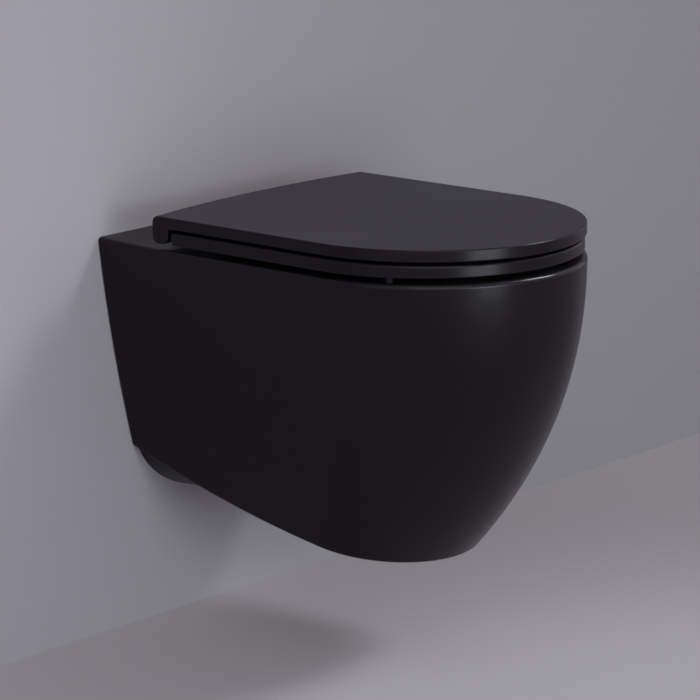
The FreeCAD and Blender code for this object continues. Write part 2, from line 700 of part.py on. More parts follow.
# ---------------------------------------------------------------- seat hinge, fixed parts
def expansion_plug():
    """Rubber plug in the deck hole; the screw draws the nut up and spreads it."""
    top = Vector(HINGE_X, POST_Y, DECK)
    flange = rod(PLUG_FLANGE / 2, top, ALONG_Z, PLUG_FLANGE_THICKNESS)
    sleeve = rod(PLUG_DIAMETER / 2, top, -ALONG_Z, PLUG_LENGTH)
    hole_start = top + ALONG_Z * PLUG_FLANGE_THICKNESS
    hole = rod(POST_SCREW / 2 + THREAD_CLEARANCE, hole_start, -ALONG_Z, PLUG_LENGTH + PLUG_FLANGE_THICKNESS)
    return flange.fuse(sleeve).removeSplitter().cut(hole).cut(plug_nut_neck())


def plug_nut_start():
    return Vector(HINGE_X, POST_Y, DECK - PLUG_LENGTH)


def plug_nut_neck():
    """The nut's upper half, a cone that spreads the plug."""
    wide = PLUG_NUT_DIAMETER / 2
    return Part.makeCone(wide, PLUG_NUT_NECK / 2, PLUG_NUT_LENGTH / 2, plug_nut_start(), ALONG_Z)


def plug_nut():
    start = plug_nut_start()
    body = rod(PLUG_NUT_DIAMETER / 2, start, -ALONG_Z, PLUG_NUT_LENGTH / 2)
    bottom = start - ALONG_Z * PLUG_NUT_LENGTH
    thread = rod(POST_SCREW / 2 + THREAD_CLEARANCE, bottom, ALONG_Z, 2 * PLUG_NUT_LENGTH)
    return plug_nut_neck().fuse(body).cut(thread)


def post_base():
    return Vector(HINGE_X, POST_Y, DECK + PLUG_FLANGE_THICKNESS)


def post_screw_seat():
    return Vector(HINGE_X, POST_Y, DECK + POST_HEIGHT - SCREW_HEAD_HEIGHT - POST_SCREW_SINK)


def hinge_post():
    """Turned post that the seat's hinge plugs on to, hollow for its screw."""
    base = post_base()
    height = POST_HEIGHT - PLUG_FLANGE_THICKNESS
    flange = rod(POST_FLANGE / 2, base, ALONG_Z, POST_FLANGE_THICKNESS)
    shank = chamfered_at(rod(POST_DIAMETER / 2, base, ALONG_Z, height), POST_CHAMFER, base.z + height)
    post = flange.fuse(shank).removeSplitter()
    post = post.cut(rod(POST_SCREW / 2 + THREAD_CLEARANCE, base, ALONG_Z, height))
    return post.cut(rod(SCREW_HEAD / 2 + THREAD_CLEARANCE, post_screw_seat(), ALONG_Z, height))


def post_screw():
    return socket_screw(POST_SCREW, post_screw_seat(), POST_SCREW_LENGTH)


# ---------------------------------------------------------------- seat hinge, lift-off parts
def hinge_housing():
    """Barrel on the pivot line, an arm forward and a foot that sits over the post."""
    x0 = HINGE_X - HOUSING_WIDTH / 2
    x1 = HINGE_X + HOUSING_WIDTH / 2
    foot_bottom = DECK + PLUG_FLANGE_THICKNESS + FOOT_GAP
    top = PIVOT_Z + ARM_ABOVE
    barrel = rod(BARREL_DIAMETER / 2, Vector(x0, PIVOT_Y, PIVOT_Z), ALONG_X, HOUSING_WIDTH)
    foot = box(x0, x1, POST_Y - FOOT_FRONT, POST_Y + FOOT_BACK, foot_bottom, top)
    front_edges = edges_where(foot, lambda edge: upright_at(edge, POST_Y - FOOT_FRONT))
    foot = foot.makeFillet(HOUSING_EDGE, front_edges)
    arm = box(x0, x1, POST_Y, PIVOT_Y, PIVOT_Z - ARM_BELOW, top)
    housing = joined([barrel, foot, arm])
    deck = Vector(HINGE_X, POST_Y, DECK)
    bore = rod(POST_DIAMETER / 2 + POST_FIT, deck, ALONG_Z, POST_HEIGHT + FOOT_GAP)
    flange_height = PLUG_FLANGE_THICKNESS + POST_FLANGE_THICKNESS + FOOT_GAP
    flange_room = rod(POST_FLANGE / 2 + FOOT_GAP, deck, ALONG_Z, flange_height)
    barrel_end = Vector(x0 - BEYOND, PIVOT_Y, PIVOT_Z)
    cartridge = rod(DAMPER_DIAMETER / 2 + RUNNING_FIT, barrel_end, ALONG_X, HOUSING_WIDTH + 2 * BEYOND)
    return single(housing.cut(bore).cut(flange_room).cut(cartridge).cut(clip_groove()))


def clip_centre():
    return Vector(HINGE_X, POST_Y, DECK + CLIP_HEIGHT)


def clip_radius():
    return POST_DIAMETER / 2 + CLIP_GAP + CLIP_WIRE / 2


def clip_groove():
    half = CLIP_WIRE / 2 + CLIP_FIT
    return rod(clip_radius() + half, clip_centre() - ALONG_Z * half, ALONG_Z, 2 * half)


def retaining_clip():
    """Open spring ring in the foot's bore that grips the post."""
    ring = Part.makeTorus(clip_radius(), CLIP_WIRE / 2, clip_centre(), ALONG_Z)
    half = CLIP_OPENING / 2
    reach = 2 * POST_DIAMETER
    corners = [clip_centre() - ALONG_Z * CLIP_WIRE]
    for angle in (CLIP_FACING - half, CLIP_FACING + half):
        direction = Vector(math.cos(math.radians(angle)), math.sin(math.radians(angle)), 0)
        corners.append(corners[0] + direction * reach)
    wedge = Part.Face(Part.makePolygon(corners + [corners[0]])).extrude(ALONG_Z * (2 * CLIP_WIRE))
    return single(ring.cut(wedge))


def toward(sign, distance):
    """A point of the pivot line, the distance outward from the housing's middle."""
    return Vector(HINGE_X + sign * distance, PIVOT_Y, PIVOT_Z)


def damper_body(sign):
    """Cartridge in the barrel: open towards its rotor, a blind pin seat at the other end."""
    direction = ALONG_X * sign
    body = rod(DAMPER_DIAMETER / 2, toward(-sign, DAMPER_LENGTH / 2), direction, DAMPER_LENGTH)
    bore_start = toward(sign, DAMPER_LENGTH / 2 - ROTOR_LENGTH - RUNNING_FIT)
    bore = rod(ROTOR_DIAMETER / 2 + RUNNING_FIT, bore_start, direction, ROTOR_LENGTH + BEYOND)
    seat_start = toward(-sign, DAMPER_LENGTH / 2 + BEYOND)
    seat = rod(PIN_DIAMETER / 2 + RUNNING_FIT, seat_start, direction, PIN_SEAT + BEYOND)
    return single(body.cut(bore).cut(seat))


def shaft_end(sign):
    return knuckle_face(sign) + PIN_REACH


def knuckle_face(sign):
    """Distance from the housing's middle to the nearer face of the knuckle on that side."""
    half = HOUSING_WIDTH / 2
    return half + KNUCKLE_GAP if sign > 0 else half + LID_POCKET_SIDE


def damper_rotor(sign):
    """Rotor in the damper's oil bore, its flatted shaft driven by the knuckle."""
    direction = ALONG_X * sign
    start = DAMPER_LENGTH / 2 - ROTOR_LENGTH
    rotor = rod(ROTOR_DIAMETER / 2, toward(sign, start), direction, ROTOR_LENGTH)
    shaft = rod(PIN_DIAMETER / 2, toward(sign, start), direction, shaft_end(sign) - start)
    return single(rotor.fuse(shaft.common(between_flats(PIN_FLAT / 2))))


def between_flats(half):
    """The level band round the pivot line that a flatted shaft fills."""
    front = PIVOT_Y - PIN_DIAMETER
    back = PIVOT_Y + PIN_DIAMETER
    return box(0, 2 * HINGE_X, front, back, PIVOT_Z - half, PIVOT_Z + half)


def flatted_hole(sign):
    """The knuckle's hole for a rotor shaft, flats and all."""
    return round_hole(sign).common(between_flats(PIN_FLAT / 2 + RUNNING_FIT))


def round_hole(sign):
    start = toward(sign, knuckle_face(sign) - OVERLAP)
    reach = OVERLAP + PIN_REACH + RUNNING_FIT
    return rod(PIN_DIAMETER / 2 + RUNNING_FIT, start, ALONG_X * sign, reach)


def plain_pin(sign):
    """Pin from the damper's closed end into the knuckle that turns on it."""
    start = DAMPER_LENGTH / 2 - PIN_SEAT
    return rod(PIN_DIAMETER / 2, toward(sign, start), ALONG_X * sign, shaft_end(sign) - start)


# ---------------------------------------------------------------- seat ring
def ring_outline(inset, level):
    return d_outline(RING_HALF_WIDTH - inset, RING_REAR + inset, SIDES_END, RING_NOSE - inset, level)


def ring_hole_outline(inset, level):
    return egg_outline(RING_HOLE_HALF_WIDTH + inset, RING_HOLE_REAR - inset, RING_HOLE_WIDEST,
                       RING_HOLE_FRONT + inset, level)


def notch_limits():
    x0 = HINGE_X - HOUSING_WIDTH / 2 - RING_NOTCH_INNER
    x1 = HINGE_X + HOUSING_WIDTH / 2 + RING_NOTCH_OUTER
    return x0, x1


def seat_knuckle():
    start = Vector(KNUCKLE_START, PIVOT_Y, PIVOT_Z)
    knuckle = rod(BARREL_DIAMETER / 2, start, ALONG_X, KNUCKLE_WIDTH)
    arm = box(KNUCKLE_START, KNUCKLE_END, -RING_REAR - RING_SKIN, PIVOT_Y,
              RING_TOP_Z - SEAT_ARM_BELOW, RING_TOP_Z)
    return knuckle.fuse(arm)


def seat_ring():
    """Seat: a D-shaped ring, hollow below, with two knuckles behind it."""
    ring = slab(ring_outline(0.0, RING_UNDER_Z), RING_THICKNESS)
    ring = ring.makeFillet(RING_CORNER, edges_where(ring, lambda edge: upright_at(edge, -RING_REAR)))
    ring = rounded_at(ring, RING_TOP_EDGE, RING_TOP_Z)
    ring = rounded_at(ring, RING_BOTTOM_EDGE, RING_UNDER_Z)
    ring = ring.cut(slab(ring_hole_outline(0.0, RING_UNDER_Z - BEYOND), RING_THICKNESS + 2 * BEYOND))
    ring = ring.makeFillet(RING_HOLE_EDGE, edges_where(ring, lambda edge: is_ring_hole(edge, RING_TOP_Z)))
    lower_edge = edges_where(ring, lambda edge: is_ring_hole(edge, RING_UNDER_Z))
    ring = ring.makeFillet(RING_BOTTOM_EDGE, lower_edge)
    x0, x1 = notch_limits()
    notch_front = -RING_REAR - RING_NOTCH_DEPTH
    keep = box(x0 - RING_SKIN, KNUCKLE_END + RING_SKIN, notch_front - RING_SKIN, 0, DECK, RING_TOP_Z)
    ring = ring.cut(ring_hollow().cut(keep).cut(mirrored(keep)))
    notch = box(x0, x1, notch_front, 0, DECK, RING_TOP_Z + BEYOND)
    ring = ring.cut(notch).cut(mirrored(notch))
    knuckle = seat_knuckle()
    ring = ring.multiFuse([knuckle, mirrored(knuckle)])
    return single(ring.cut(flatted_hole(1)).cut(mirrored(round_hole(1))))


def ring_hollow():
    """The hollow that follows the ring round its underside."""
    level = RING_UNDER_Z - BEYOND
    height = RING_RECESS + BEYOND
    around = slab(ring_outline(RING_SKIN, level), height)
    return around.cut(slab(ring_hole_outline(RING_SKIN, level), height))


def is_ring_hole(edge, level):
    bounds = edge.BoundBox
    limit = RING_HOLE_HALF_WIDTH + NEAR
    across = bounds.XMax < limit and bounds.XMin > -limit
    along = bounds.YMax < -RING_HOLE_REAR + NEAR and bounds.YMin > -RING_HOLE_FRONT - NEAR
    return lies_in_level(edge, level) and across and along


def bumper(diameter, place, bottom, top):
    """Round soft pad with a rounded lower edge."""
    pad = rod(diameter / 2, Vector(place[0], -place[1], bottom), ALONG_Z, top - bottom)
    return rounded_at(pad, BUMPER_EDGE, bottom)


def seat_bumper(place, top):
    return bumper(SEAT_BUMPER_DIAMETER, place, DECK + BUMPER_GAP, top)


# ---------------------------------------------------------------- lid
def lid_rear_points(level):
    """The two rear corners and the middle of the bowed rear edge."""
    right = Vector(LID_HALF_WIDTH, -LID_REAR, level)
    left = Vector(-LID_HALF_WIDTH, -LID_REAR, level)
    return left, Vector(0, -LID_REAR + LID_BOW, level), right


def panel_outline(level):
    rear_left, rear_middle, rear_right = lid_rear_points(level)
    right_front = Vector(LID_HALF_WIDTH, -SIDES_END, level)
    left_front = Vector(-LID_HALF_WIDTH, -SIDES_END, level)
    tip = Vector(0, -LID_NOSE, level)
    return Part.Wire([
        Part.Arc(rear_left, rear_middle, rear_right).toShape(),
        line(rear_right, right_front),
        quarter_ellipse(right_front, Vector(LID_HALF_WIDTH, -LID_NOSE, level), tip),
        quarter_ellipse(tip, Vector(-LID_HALF_WIDTH, -LID_NOSE, level), left_front),
        line(left_front, rear_left),
    ])


def lip_outline(level):
    """A band of even width along the lid's bowed rear edge."""
    left, middle, right = lid_rear_points(level)
    width = Vector(0, -LID_LIP_WIDTH, 0)
    return Part.Wire([
        Part.Arc(left, middle, right).toShape(),
        line(right, right + width),
        Part.Arc(right + width, middle + width, left + width).toShape(),
        line(left + width, left),
    ])


def lid_recess():
    """Shallow hollow in the lid's underside, ahead of the hinge line."""
    rear = LID_REAR + LID_LIP_WIDTH + LID_SKIN
    half = LID_HALF_WIDTH - LID_SKIN
    outline = d_outline(half, rear, SIDES_END, LID_NOSE - LID_SKIN, LID_UNDER_Z - BEYOND)
    recess = slab(outline, LID_RECESS + BEYOND)
    return recess.makeFillet(LID_RECESS_CORNER, edges_where(recess, lambda edge: upright_at(edge, -rear)))


def is_across(edge, level):
    """Whether an edge lies in a level and runs across the lid behind its recess."""
    bounds = edge.BoundBox
    return lies_in_level(edge, level) and bounds.XLength > LID_HALF_WIDTH and bounds.YMin > -SIDES_END


def is_lid_edge(edge):
    """An edge of the top face; from it the rounding runs on round the ends and the underside."""
    return lies_in_level(edge, LID_TOP_Z) and edge.BoundBox.YMin < -SIDES_END + NEAR


def rounded_across(lid, radius, level):
    return lid.makeFillet(radius, edges_where(lid, lambda edge: is_across(edge, level)))


def lid_body():
    """The panel and the lip along its rear, with every outer edge rounded."""
    bottom = DECK + LID_LIP_BOTTOM
    panel = slab(panel_outline(LID_UNDER_Z), LID_THICKNESS)
    lip = slab(lip_outline(bottom), LID_UNDER_Z + OVERLAP - bottom)
    lid = panel.fuse(lip).removeSplitter()
    lid = rounded_across(lid, LID_REAR_EDGE, LID_TOP_Z)
    lid = rounded_across(lid, LID_LIP_FOOT, LID_UNDER_Z)
    lid = rounded_across(lid, LID_LIP_RADIUS, bottom)
    return lid.makeFillet(LID_EDGE, edges_where(lid, is_lid_edge))


def lid_panel():
    """Lid: a flat panel with a rounded lip along the rear that hides the hinges."""
    lid = lid_body().cut(lid_recess())
    pocket_front = POST_Y - FOOT_FRONT - LID_POCKET_FRONT
    pocket = box(POCKET_LEFT, POCKET_RIGHT, pocket_front, 0, DECK, LID_TOP_Z - LID_POCKET_TOP)
    lid = lid.cut(pocket).cut(mirrored(pocket))
    return single(lid.cut(round_hole(-1)).cut(mirrored(flatted_hole(-1))))


def lid_bumper(place):
    return bumper(LID_BUMPER_DIAMETER, place, RING_TOP_Z + BUMPER_GAP, LID_UNDER_Z + LID_RECESS)


# ---------------------------------------------------------------- the set of parts
def build():
    seat_front = (RING_HALF_WIDTH - SEAT_BUMPER_SIDE, SIDES_END + SEAT_BUMPER_AHEAD)
    seat_rear = (RING_HALF_WIDTH - SEAT_BUMPER_REAR_SIDE, SEAT_BUMPER_REAR_REACH)
    lid_front = (LID_HALF_WIDTH - LID_BUMPER_SIDE, SIDES_END + LID_BUMPER_AHEAD)
    lid_rear = (LID_HALF_WIDTH - LID_BUMPER_REAR_SIDE, LID_BUMPER_REAR_REACH)
    bracket = fixing_bracket()
    post = hinge_post()
    housing = hinge_housing()
    return {
        "pan_ceramic": pan_ceramic(),
        "fixing_bracket_right": bracket,
        "fixing_bracket_left": mirrored(bracket),
        "stud_washers": both_sides(stud_washer()),
        "stud_nuts": both_sides(stud_nut()),
        "clamp_washers": both_sides(clamp_washer()),
        "clamp_screws": both_sides(clamp_screw()),
        "expansion_plugs": both_sides(expansion_plug()),
        "plug_nuts": both_sides(plug_nut()),
        "hinge_post_right": post,
        "hinge_post_left": mirrored(post),
        "post_screws": both_sides(post_screw()),
        "hinge_housing_right": housing,
        "hinge_housing_left": mirrored(housing),
        "retaining_clips": both_sides(retaining_clip()),
        "seat_damper_body": damper_body(1),
        "seat_damper_rotor": damper_rotor(1),
        "lid_damper_body": mirrored(damper_body(-1)),
        "lid_damper_rotor": mirrored(damper_rotor(-1)),
        "lid_pivot_pin": plain_pin(-1),
        "seat_pivot_pin": mirrored(plain_pin(1)),
        "seat_ring": seat_ring(),
        "seat_bumpers_front": both_sides(seat_bumper(seat_front, RING_UNDER_Z)),
        "seat_bumpers_rear": both_sides(seat_bumper(seat_rear, RING_UNDER_Z + RING_RECESS)),
        "lid_panel": lid_panel(),
        "lid_bumpers_front": both_sides(lid_bumper(lid_front)),
        "lid_bumpers_rear": both_sides(lid_bumper(lid_rear)),
    }


os.makedirs("parts", exist_ok=True)
for name, shape in build().items():
    solids = len(shape.Solids)
    print(name, shape.isValid(), solids, round(shape.Volume / 1000, 2))
    shape.exportStep(os.path.join("parts", name + ".step"))
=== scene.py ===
import json
import math
import bpy
from mathutils import Matrix, Vector

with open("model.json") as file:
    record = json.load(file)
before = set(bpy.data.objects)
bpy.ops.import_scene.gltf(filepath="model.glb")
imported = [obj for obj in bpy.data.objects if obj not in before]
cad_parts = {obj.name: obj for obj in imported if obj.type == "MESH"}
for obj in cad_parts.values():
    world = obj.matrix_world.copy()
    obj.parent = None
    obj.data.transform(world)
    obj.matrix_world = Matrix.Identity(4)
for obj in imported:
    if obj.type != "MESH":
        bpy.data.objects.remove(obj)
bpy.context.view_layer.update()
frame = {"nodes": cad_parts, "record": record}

# ---------------------------------------------------------------- sizes and places, in metres
FLOOR_LEVEL = -0.4096       # stage floor, from the studs
WALL_GAP = 0.0005           # backdrop behind the ceramic's rear edge
STAGE_REACH = 6.0

CAMERA_TARGET = Vector((-0.01353, -0.250, -0.05192))
CAMERA_AZIMUTH = math.radians(-47.53)
CAMERA_ELEVATION = math.radians(13.36)
CAMERA_ROLL = math.radians(-1.05)
CAMERA_DISTANCE = 4.16034
FOCAL_PIXELS = 3479.7
FRAME_PIXELS = 700
SENSOR = 36.0

# The hollow back, for the mask of bare ceramic.  Where a size has two values, the first holds at the
# wall, and the second is its change for each metre towards the wall.
DECK_LEVEL = 0.08
DECK_UNDERSIDE = 0.068
HOLLOW_HALF_WIDTH = 0.1770      # at the deck's level
SIDE_LEAN = 0.1063              # fall of the half width for each metre of depth
SIDE_CURVE = 0.2642             # and for each metre of depth squared
BELLY_HALF_WIDTH = (0.1290, 0.0792)
BELLY_DROP = (0.0955, 0.2083)
BELLY_LEVEL = (-0.160, 0.2083)
SKIRT_LEVEL = (-0.180, 0.3966)
SKIRT_CURVE = 0.3906
BOWL_REAR = -0.160              # where the bowl's rear side starts
BOWL_REAR_LEVEL = -0.06         # below this level the bowl lies further from the wall
BOWL_REAR_LEAN = 0.35
GLAZED_BORES = ((-0.100, 0.0446), (0.035, 0.0279))     # level and radius of outlet and inlet
WALL_FACE = (-0.0005, -0.0001)  # glazed in front of the first, bare behind the second
RAGGED_WIDTH = 0.004            # how far the glaze's border wanders
BORDER = 0.001                  # half the width of a soft border

# ---------------------------------------------------------------- colours, linear
GLAZE = (0.0066, 0.0050, 0.0072)
# paler glaze: dust in the specks, and a painted sheen on the edges
GLAZE_DUST_AND_SHEEN = (0.0076, 0.0060, 0.0083)
BARE_CERAMIC = (0.55, 0.50, 0.43)
BARE_CERAMIC_DARK = (0.40, 0.36, 0.31)
DUROPLAST = (0.0066, 0.0050, 0.0074)
# paler plastic: dust in the specks, and a painted sheen on the edges
DUROPLAST_DUST_AND_SHEEN = (0.0080, 0.0064, 0.0089)
CASTING = (0.27, 0.27, 0.28)
CASTING_DARK = (0.13, 0.13, 0.14)
ZINC = (0.55, 0.56, 0.58)
ZINC_TINT = (0.50, 0.46, 0.36)
STEEL = (0.60, 0.59, 0.57)
STEEL_DARK = (0.42, 0.41, 0.40)
CHROME = (0.62, 0.62, 0.64)
BRASS = (0.60, 0.42, 0.16)
BRASS_DARK = (0.33, 0.21, 0.08)
RUBBER = (0.0040, 0.0036, 0.0042)
RUBBER_PALE = (0.0070, 0.0065, 0.0074)
DAMPER = (0.060, 0.060, 0.064)
DAMPER_PALE = (0.110, 0.110, 0.115)
EDGE_POLISH = 0.14              # how much smoother the worn edges are
BARE_ROUGHNESS = 0.45           # how much rougher bare ceramic is than the glaze
STAGE_ROUGHNESS = 0.85
DRIFT_RANGE = (0.3, 0.7)        # most of a noise's values
SPECK_RANGE = (0.70, 0.80)
EDGE_TURN = (0.02, 0.22)        # 1 minus the cosine between the plain and the rounded normal
BACKDROP = (0.305, 0.293, 0.320)
BACKDROP_MIRRORED = (0.225, 0.212, 0.248)    # painted reflection: the darker tone that the glossy black's reflections show of the backdrop
FLOOR = (0.330, 0.318, 0.345)
# painted reflection: the darker tone that the glossy black's reflections show of the floor
FLOOR_MIRRORED = (0.290, 0.275, 0.310)


# ---------------------------------------------------------------- node helpers
def add(tree, kind, **settings):
    """A new node; settings that name a socket go to it, the others to the node."""
    node = tree.nodes.new(kind)
    for name, value in settings.items():
        socket = name.replace("_", " ")
        if socket in node.inputs:
            node.inputs[socket].default_value = value
        else:
            setattr(node, name, value)
    return node


def link(tree, source, target):
    tree.links.new(source, target)


def math_node(tree, operation, first, second=None, third=None):
    node = add(tree, "ShaderNodeMath", operation=operation)
    for socket, value in zip(node.inputs, (first, second, third)):
        if value is None:
            continue
        if isinstance(value, (int, float)):
            socket.default_value = value
        else:
            link(tree, value, socket)
    return node.outputs[0]


def smooth_step(tree, value, low, high):
    """0 below low and 1 above high, with an eased rise between."""
    node = add(tree, "ShaderNodeMapRange", interpolation_type="SMOOTHSTEP")
    link(tree, value, node.inputs["Value"])
    node.inputs["From Min"].default_value = low
    node.inputs["From Max"].default_value = high
    return node.outputs["Result"]


def blend_colours(tree, mask, first, second):
    """Inputs 6 and 7 of the mix node are its two colours, and output 2 is the mixed one."""
    node = add(tree, "ShaderNodeMix", data_type="RGBA")
    link(tree, mask, node.inputs["Factor"])
    for socket, value in ((node.inputs[6], first), (node.inputs[7], second)):
        if isinstance(value, tuple):
            socket.default_value = (*value, 1.0)
        else:
            link(tree, value, socket)
    return node.outputs[2]


def noise(tree, vector, scale, detail=2.0, roughness=0.5, distortion=0.0):
    node = add(tree, "ShaderNodeTexNoise", Scale=scale, Detail=detail,
               Roughness=roughness, Distortion=distortion)
    link(tree, vector, node.inputs["Vector"])
    return node.outputs["Fac"]


def group(name, inputs, outputs):
    tree = bpy.data.node_groups.new(name, "ShaderNodeTree")
    for label, kind, default in inputs:
        socket = tree.interface.new_socket(label, in_out="INPUT", socket_type=kind)
        socket.default_value = default
    for label, kind in outputs:
        tree.interface.new_socket(label, in_out="OUTPUT", socket_type=kind)
    return tree, tree.nodes.new("NodeGroupInput"), tree.nodes.new("NodeGroupOutput")


# ---------------------------------------------------------------- shared effects
def make_skin_group():
    """Slow waves and a fine grain for the height, and drifts for the roughness."""
    tree, given, result = group(
        "moulded_skin",
        [("Wave Scale", "NodeSocketFloat", 40.0), ("Grain Scale", "NodeSocketFloat", 900.0),
         ("Grain Share", "NodeSocketFloat", 0.2)],
        [("Height", "NodeSocketFloat"), ("Drift", "NodeSocketFloat"), ("Specks", "NodeSocketFloat")])
    place = add(tree, "ShaderNodeTexCoord").outputs["Object"]
    wave = add(tree, "ShaderNodeTexNoise", Detail=1.0)
    grain = add(tree, "ShaderNodeTexNoise", Detail=3.0)
    for node, label in ((wave, "Wave Scale"), (grain, "Grain Scale")):
        link(tree, place, node.inputs["Vector"])
        link(tree, given.outputs[label], node.inputs["Scale"])
    share = given.outputs["Grain Share"]
    rest = math_node(tree, "SUBTRACT", 1.0, share)
    height = math_node(tree, "MULTIPLY", wave.outputs["Fac"], rest)
    height = math_node(tree, "MULTIPLY_ADD", grain.outputs["Fac"], share, height)
    link(tree, height, result.inputs["Height"])
    drift = noise(tree, place, scale=9.0, detail=4.0, roughness=0.6, distortion=0.4)
    link(tree, drift, result.inputs["Drift"])
    specks = smooth_step(tree, noise(tree, place, scale=420.0, detail=1.0), *SPECK_RANGE)
    link(tree, specks, result.inputs["Specks"])
    return tree


def make_edge_group():
    """A mask of the edges within the given reach, broken up by noise: it drives the edge polish, and
    a painted sheen where it pales a colour.
    """
    tree, given, result = group(
        "worn_edge_and_sheen", [("Reach", "NodeSocketFloat", 0.0012)], [("Mask", "NodeSocketFloat")])
    rounded = add(tree, "ShaderNodeBevel", samples=4)
    link(tree, given.outputs["Reach"], rounded.inputs["Radius"])
    plain = add(tree, "ShaderNodeNewGeometry")
    dot = add(tree, "ShaderNodeVectorMath", operation="DOT_PRODUCT")
    link(tree, rounded.outputs["Normal"], dot.inputs[0])
    link(tree, plain.outputs["Normal"], dot.inputs[1])
    turned = math_node(tree, "SUBTRACT", 1.0, dot.outputs["Value"])
    place = add(tree, "ShaderNodeTexCoord").outputs["Object"]
    broken = noise(tree, place, scale=160.0, detail=3.0, roughness=0.6)
    edge = smooth_step(tree, turned, *EDGE_TURN)
    link(tree, math_node(tree, "MULTIPLY", edge, broken), result.inputs["Mask"])
    return tree


def make_turning_group():
    """Fine even bands across a turned piece, like the marks of the tool."""
    tree, given, result = group(
        "turning_marks", [("Scale", "NodeSocketFloat", 900.0)], [("Height", "NodeSocketFloat")])
    place = add(tree, "ShaderNodeTexCoord").outputs["Object"]
    wave = add(tree, "ShaderNodeTexWave", wave_type="BANDS", bands_direction="DIAGONAL",
               Distortion=1.5, Detail=2.0, Detail_Scale=2.0)
    link(tree, place, wave.inputs["Vector"])
    link(tree, given.outputs["Scale"], wave.inputs["Scale"])
    link(tree, wave.outputs["Fac"], result.inputs["Height"])
    return tree


SKIN = make_skin_group()
EDGE = make_edge_group()
TURNING = make_turning_group()


def use(tree, effect, **values):
    node = tree.nodes.new("ShaderNodeGroup")
    node.node_tree = effect
    for name, value in values.items():
        node.inputs[name.replace("_", " ")].default_value = value
    return node


def material(name, metallic, specular=0.5):
    """A new material: its tree and its Principled shader with plain metallic and specular."""
    made = bpy.data.materials.new(name)
    made.use_nodes = True
    tree = made.node_tree
    shader = tree.nodes["Principled BSDF"]
    shader.inputs["Metallic"].default_value = metallic
    shader.inputs["Specular IOR Level"].default_value = specular
    return made, tree, shader


def roughness_between(tree, drift, low, high):
    spread = add(tree, "ShaderNodeMapRange")
    link(tree, drift, spread.inputs["Value"])
    spread.inputs["From Min"].default_value, spread.inputs["From Max"].default_value = DRIFT_RANGE
    spread.inputs["To Min"].default_value = low
    spread.inputs["To Max"].default_value = high
    return spread.outputs["Result"]


def set_bump(tree, shader, height, depth, strength=1.0):
    bump = add(tree, "ShaderNodeBump", Strength=strength, Distance=depth)
    link(tree, height, bump.inputs["Height"])
    link(tree, bump.outputs["Normal"], shader.inputs["Normal"])


# ---------------------------------------------------------------- finishes
def coordinates(tree):
    split = add(tree, "ShaderNodeSeparateXYZ")
    link(tree, add(tree, "ShaderNodeTexCoord").outputs["Object"], split.inputs[0])
    return split.outputs


def with_distance(tree, y, size):
    """A size of the hollow back at the distance y from the wall."""
    at_wall, change = size
    return math_node(tree, "MULTIPLY_ADD", y, change, at_wall)


def within_sides(tree, x, z):
    """1 between the side walls: half the width falls with the depth below the deck."""
    place = add(tree, "ShaderNodeTexCoord").outputs["Object"]
    border = noise(tree, place, scale=60.0, detail=3.0)
    ragged = math_node(tree, "MULTIPLY_ADD", border, RAGGED_WIDTH, -RAGGED_WIDTH / 2)
    depth = math_node(tree, "SUBTRACT", DECK_LEVEL, z)
    fall = math_node(tree, "MULTIPLY_ADD", depth, SIDE_CURVE, SIDE_LEAN)
    fall = math_node(tree, "MULTIPLY", fall, depth)
    half = math_node(tree, "SUBTRACT", HOLLOW_HALF_WIDTH, fall)
    inwards = math_node(tree, "SUBTRACT", half, math_node(tree, "ABSOLUTE", x))
    return smooth_step(tree, math_node(tree, "ADD", inwards, ragged), 0.0, 2 * BORDER)


def within_belly(tree, x, y, z):
    """1 inside the belly, which is half an ellipse below its level."""
    low = math_node(tree, "SUBTRACT", with_distance(tree, y, BELLY_LEVEL), z)
    low = math_node(tree, "MAXIMUM", low, 0.0)
    low = math_node(tree, "DIVIDE", low, with_distance(tree, y, BELLY_DROP))
    side = math_node(tree, "DIVIDE", x, with_distance(tree, y, BELLY_HALF_WIDTH))
    ring = math_node(tree, "MULTIPLY_ADD", low, low, math_node(tree, "MULTIPLY", side, side))
    return smooth_step(tree, ring, 1.0, 0.94)


def above_skirt(tree, y, z):
    """1 above the skirt's lower edge, which falls away from the wall in a curve."""
    at_wall, change = SKIRT_LEVEL
    slope = math_node(tree, "MULTIPLY_ADD", y, SKIRT_CURVE, change)
    skirt = math_node(tree, "MULTIPLY_ADD", y, slope, at_wall)
    return smooth_step(tree, math_node(tree, "SUBTRACT", z, skirt), -BORDER, BORDER)


def behind_bowl(tree, y, z):
    """1 behind the bowl's rear side, which lies further from the wall lower down."""
    lower = math_node(tree, "MINIMUM", math_node(tree, "SUBTRACT", z, BOWL_REAR_LEVEL), 0.0)
    rear = math_node(tree, "MULTIPLY_ADD", lower, BOWL_REAR_LEAN, BOWL_REAR)
    return smooth_step(tree, math_node(tree, "SUBTRACT", y, rear), -4 * BORDER, 0.0)


def bare_mask(tree):
    """1 where the ceramic is unglazed: the face on the wall and the hollow behind it."""
    x, y, z = coordinates(tree)
    hollow = math_node(tree, "MAXIMUM", within_belly(tree, x, y, z), above_skirt(tree, y, z))
    hollow = math_node(tree, "MULTIPLY", hollow, within_sides(tree, x, z))
    hollow = math_node(tree, "MULTIPLY", hollow, behind_bowl(tree, y, z))
    below = smooth_step(tree, z, DECK_UNDERSIDE + BORDER, DECK_UNDERSIDE - BORDER)
    hollow = math_node(tree, "MULTIPLY", hollow, below)
    bare = math_node(tree, "MAXIMUM", smooth_step(tree, y, *WALL_FACE), hollow)
    for level, radius in GLAZED_BORES:
        rise = math_node(tree, "SUBTRACT", z, level)
        square = math_node(tree, "MULTIPLY_ADD", rise, rise, math_node(tree, "MULTIPLY", x, x))
        outside = smooth_step(tree, math_node(tree, "SQRT", square), radius, radius + 0.0006)
        bare = math_node(tree, "MULTIPLY", bare, outside)
    return bare


